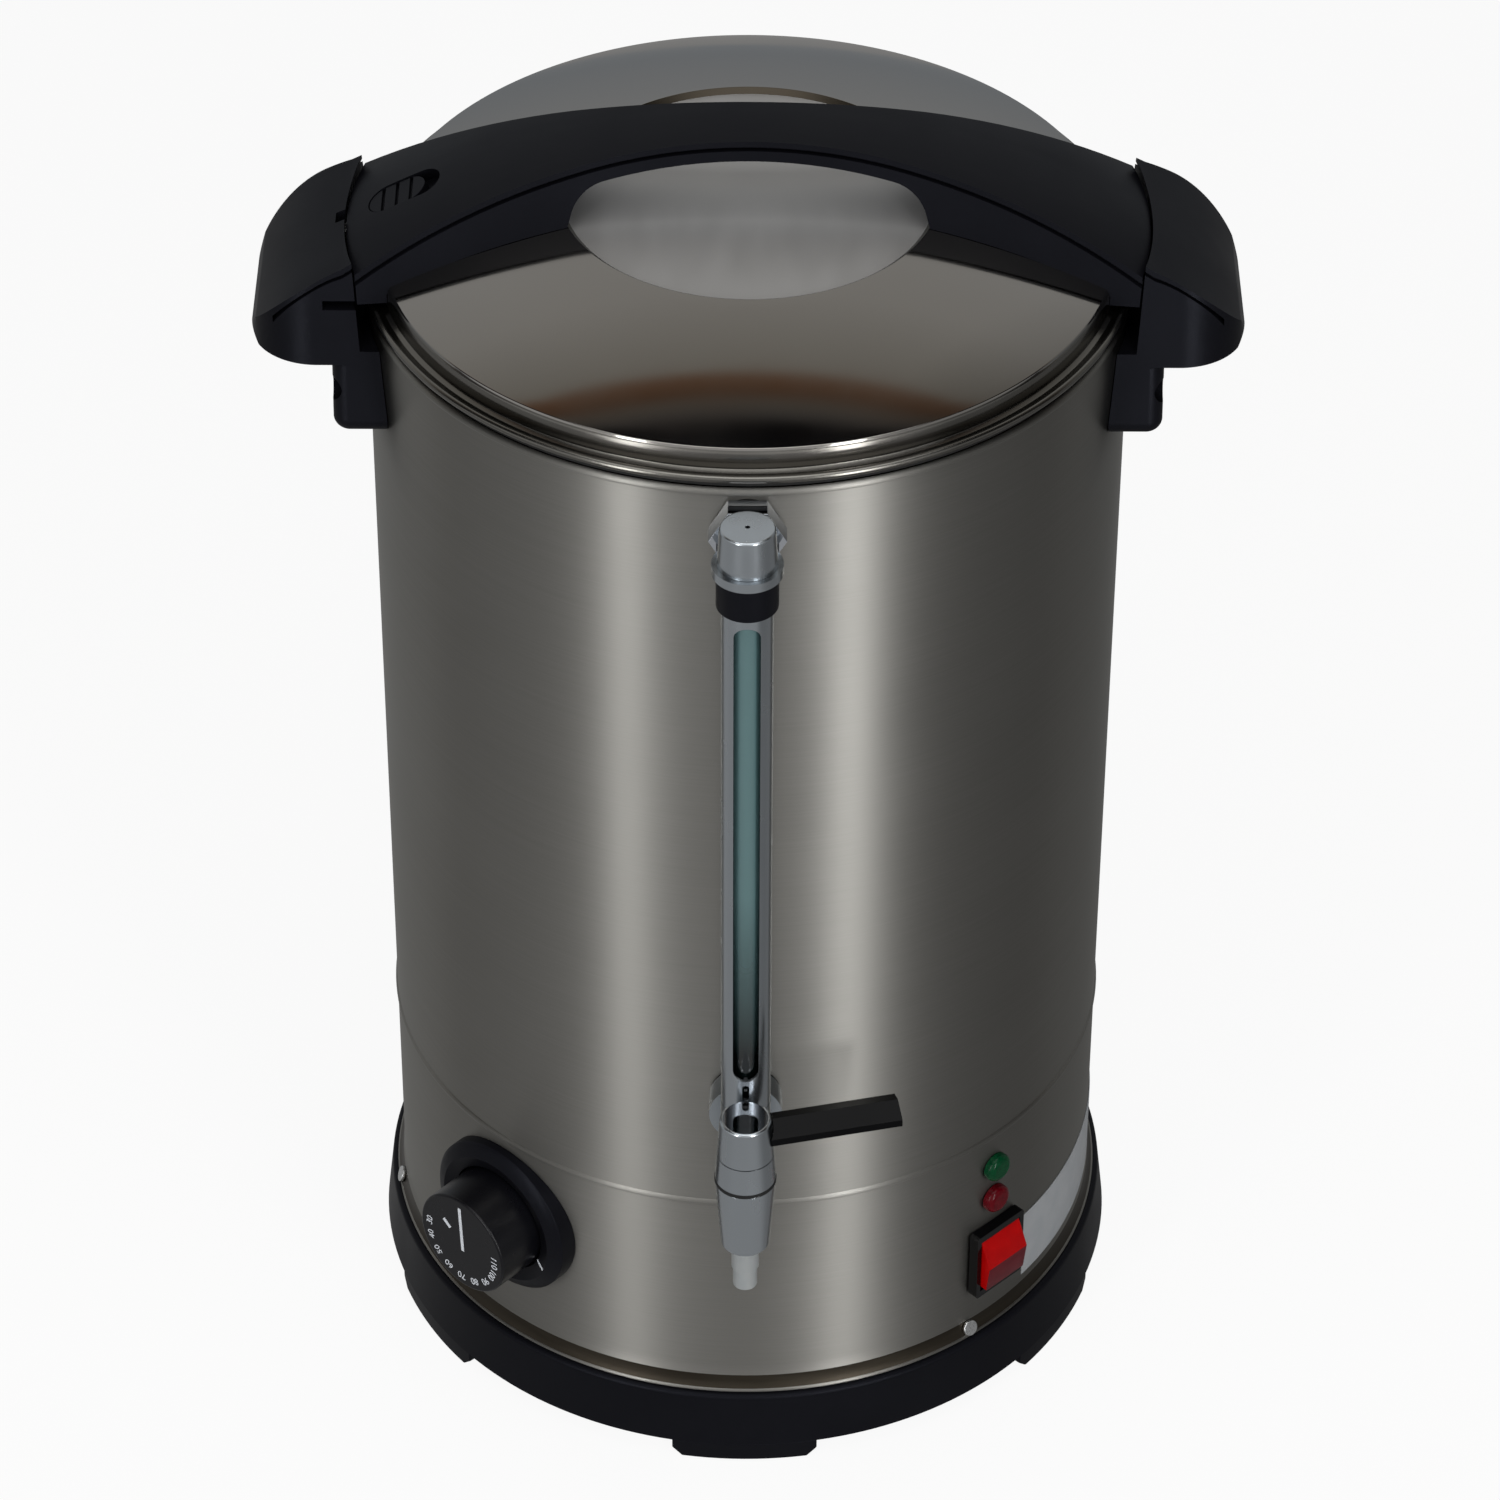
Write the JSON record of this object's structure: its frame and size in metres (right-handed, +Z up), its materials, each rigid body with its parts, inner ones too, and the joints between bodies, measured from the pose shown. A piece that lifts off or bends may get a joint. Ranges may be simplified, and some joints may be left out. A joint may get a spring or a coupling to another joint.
{
  "type": "hot water urn",
  "caption": "Upright stainless hot water urn with a lift-off domed lid, bridge and side handles, a sight gauge above the tap, a thermostat knob, a rocker switch and pilot lamps.",
  "frame": {"origin": "on the tank's axis at the plane the feet stand on", "axes": "+Z up along the tank's axis, -Y out through the tap, +X to the right seen from the tap's side"},
  "size_m": [0.362, 0.3426, 0.5342],
  "materials": {
    "brushed_steel": "fine vertical brushing, satin",
    "inner_steel": "mill finish",
    "polished_steel": "polished",
    "black_plastic": "satin, fine grain",
    "knob_plastic": "satin",
    "switch_plastic": "semi-gloss",
    "red_plastic": "gloss",
    "satin_chrome": "satin to bright",
    "brass": "turned",
    "screw_steel": "zinc plated",
    "seal_rubber": "matte",
    "sight_glass": "clear with a teal tint",
    "nozzle_plastic": "translucent",
    "ceramic": "matte",
    "green_lens": "translucent lens",
    "red_lens": "translucent lens",
    "lamp_black": "matte",
    "label_film": "satin film"
  },
  "bodies": {
    "urn_body": {"base_ring": "black_plastic", "base_screws": "screw_steel", "bottom_cover": "inner_steel", "bulb_nut": "inner_steel", "cable_gland": "black_plastic", "cover_screws": "screw_steel", "element_bushes": "inner_steel", "element_nuts": "inner_steel", "gauge_cap": "satin_chrome", "gauge_collar": "black_plastic", "gauge_glass": "sight_glass", "gauge_guard": "satin_chrome", "gauge_nuts": "satin_chrome", "gauge_packings": "seal_rubber", "gauge_seals": "seal_rubber", "gauge_top_body": "satin_chrome", "gland_nut": "black_plastic", "heating_element": "inner_steel", "jacket": "brushed_steel", "knob_bezel": "black_plastic", "lamp_green": "green_lens", "lamp_nuts": "lamp_black", "lamp_red": "red_lens", "rating_label": "label_film", "side_handle_left": "black_plastic", "side_handle_nuts": "screw_steel", "side_handle_right": "black_plastic", "side_handle_screws": "screw_steel", "switch_housing": "switch_plastic", "tank_bottom": "inner_steel", "tap_body": "satin_chrome", "tap_nozzle": "nozzle_plastic", "tap_nut": "brass", "tap_seal_ring": "seal_rubber", "tap_seals": "seal_rubber", "tap_spout": "satin_chrome", "terminal_block": "ceramic", "terminal_screws": "screw_steel", "thermal_cutout": "ceramic", "thermostat_body": "ceramic", "thermostat_bulb": "inner_steel", "thermostat_nut": "screw_steel"},
    "lid": {"lid_shell": "polished_steel", "lid_gasket": "seal_rubber", "lid_handle": "black_plastic", "lid_handle_cover": "black_plastic", "lid_handle_screws": "screw_steel"},
    "lid_lock": {"lock_slider": "black_plastic", "lock_bolt": "screw_steel"},
    "tap_valve": {"tap_head": "satin_chrome", "tap_lever": "black_plastic", "tap_plug": "brass"},
    "thermostat_knob": {"control_knob": "knob_plastic", "thermostat_shaft": "screw_steel"},
    "power_rocker": {"switch_rocker": "red_plastic"}
  },
  "joints": [
    {"name": "lid_lift", "type": "slide", "parent": "urn_body", "child": "lid", "axis": [0, 0, 1], "range_m": [0, 0.16]},
    {"name": "lid_lock_slide", "type": "slide", "parent": "lid", "child": "lid_lock", "axis": [0.891, 0, 0.454], "range_m": [0, 0.006]},
    {"name": "tap_turn", "type": "hinge", "parent": "urn_body", "child": "tap_valve", "pos_m": [0, -0.181, 0.2], "axis": [0, 0, -1], "range_deg": [0, 90]},
    {"name": "knob_turn", "type": "hinge", "parent": "urn_body", "child": "thermostat_knob", "pos_m": [-0.10037, -0.11147, 0.0942], "axis": [-0.6691, -0.7431, 0], "range_deg": [-26, 246]},
    {"name": "switch_rock", "type": "hinge", "parent": "urn_body", "child": "power_rocker", "pos_m": [0.09732, -0.10008, 0.071], "axis": [0.7169, 0.6972, 0], "range_deg": [0, 16]}
  ]
}
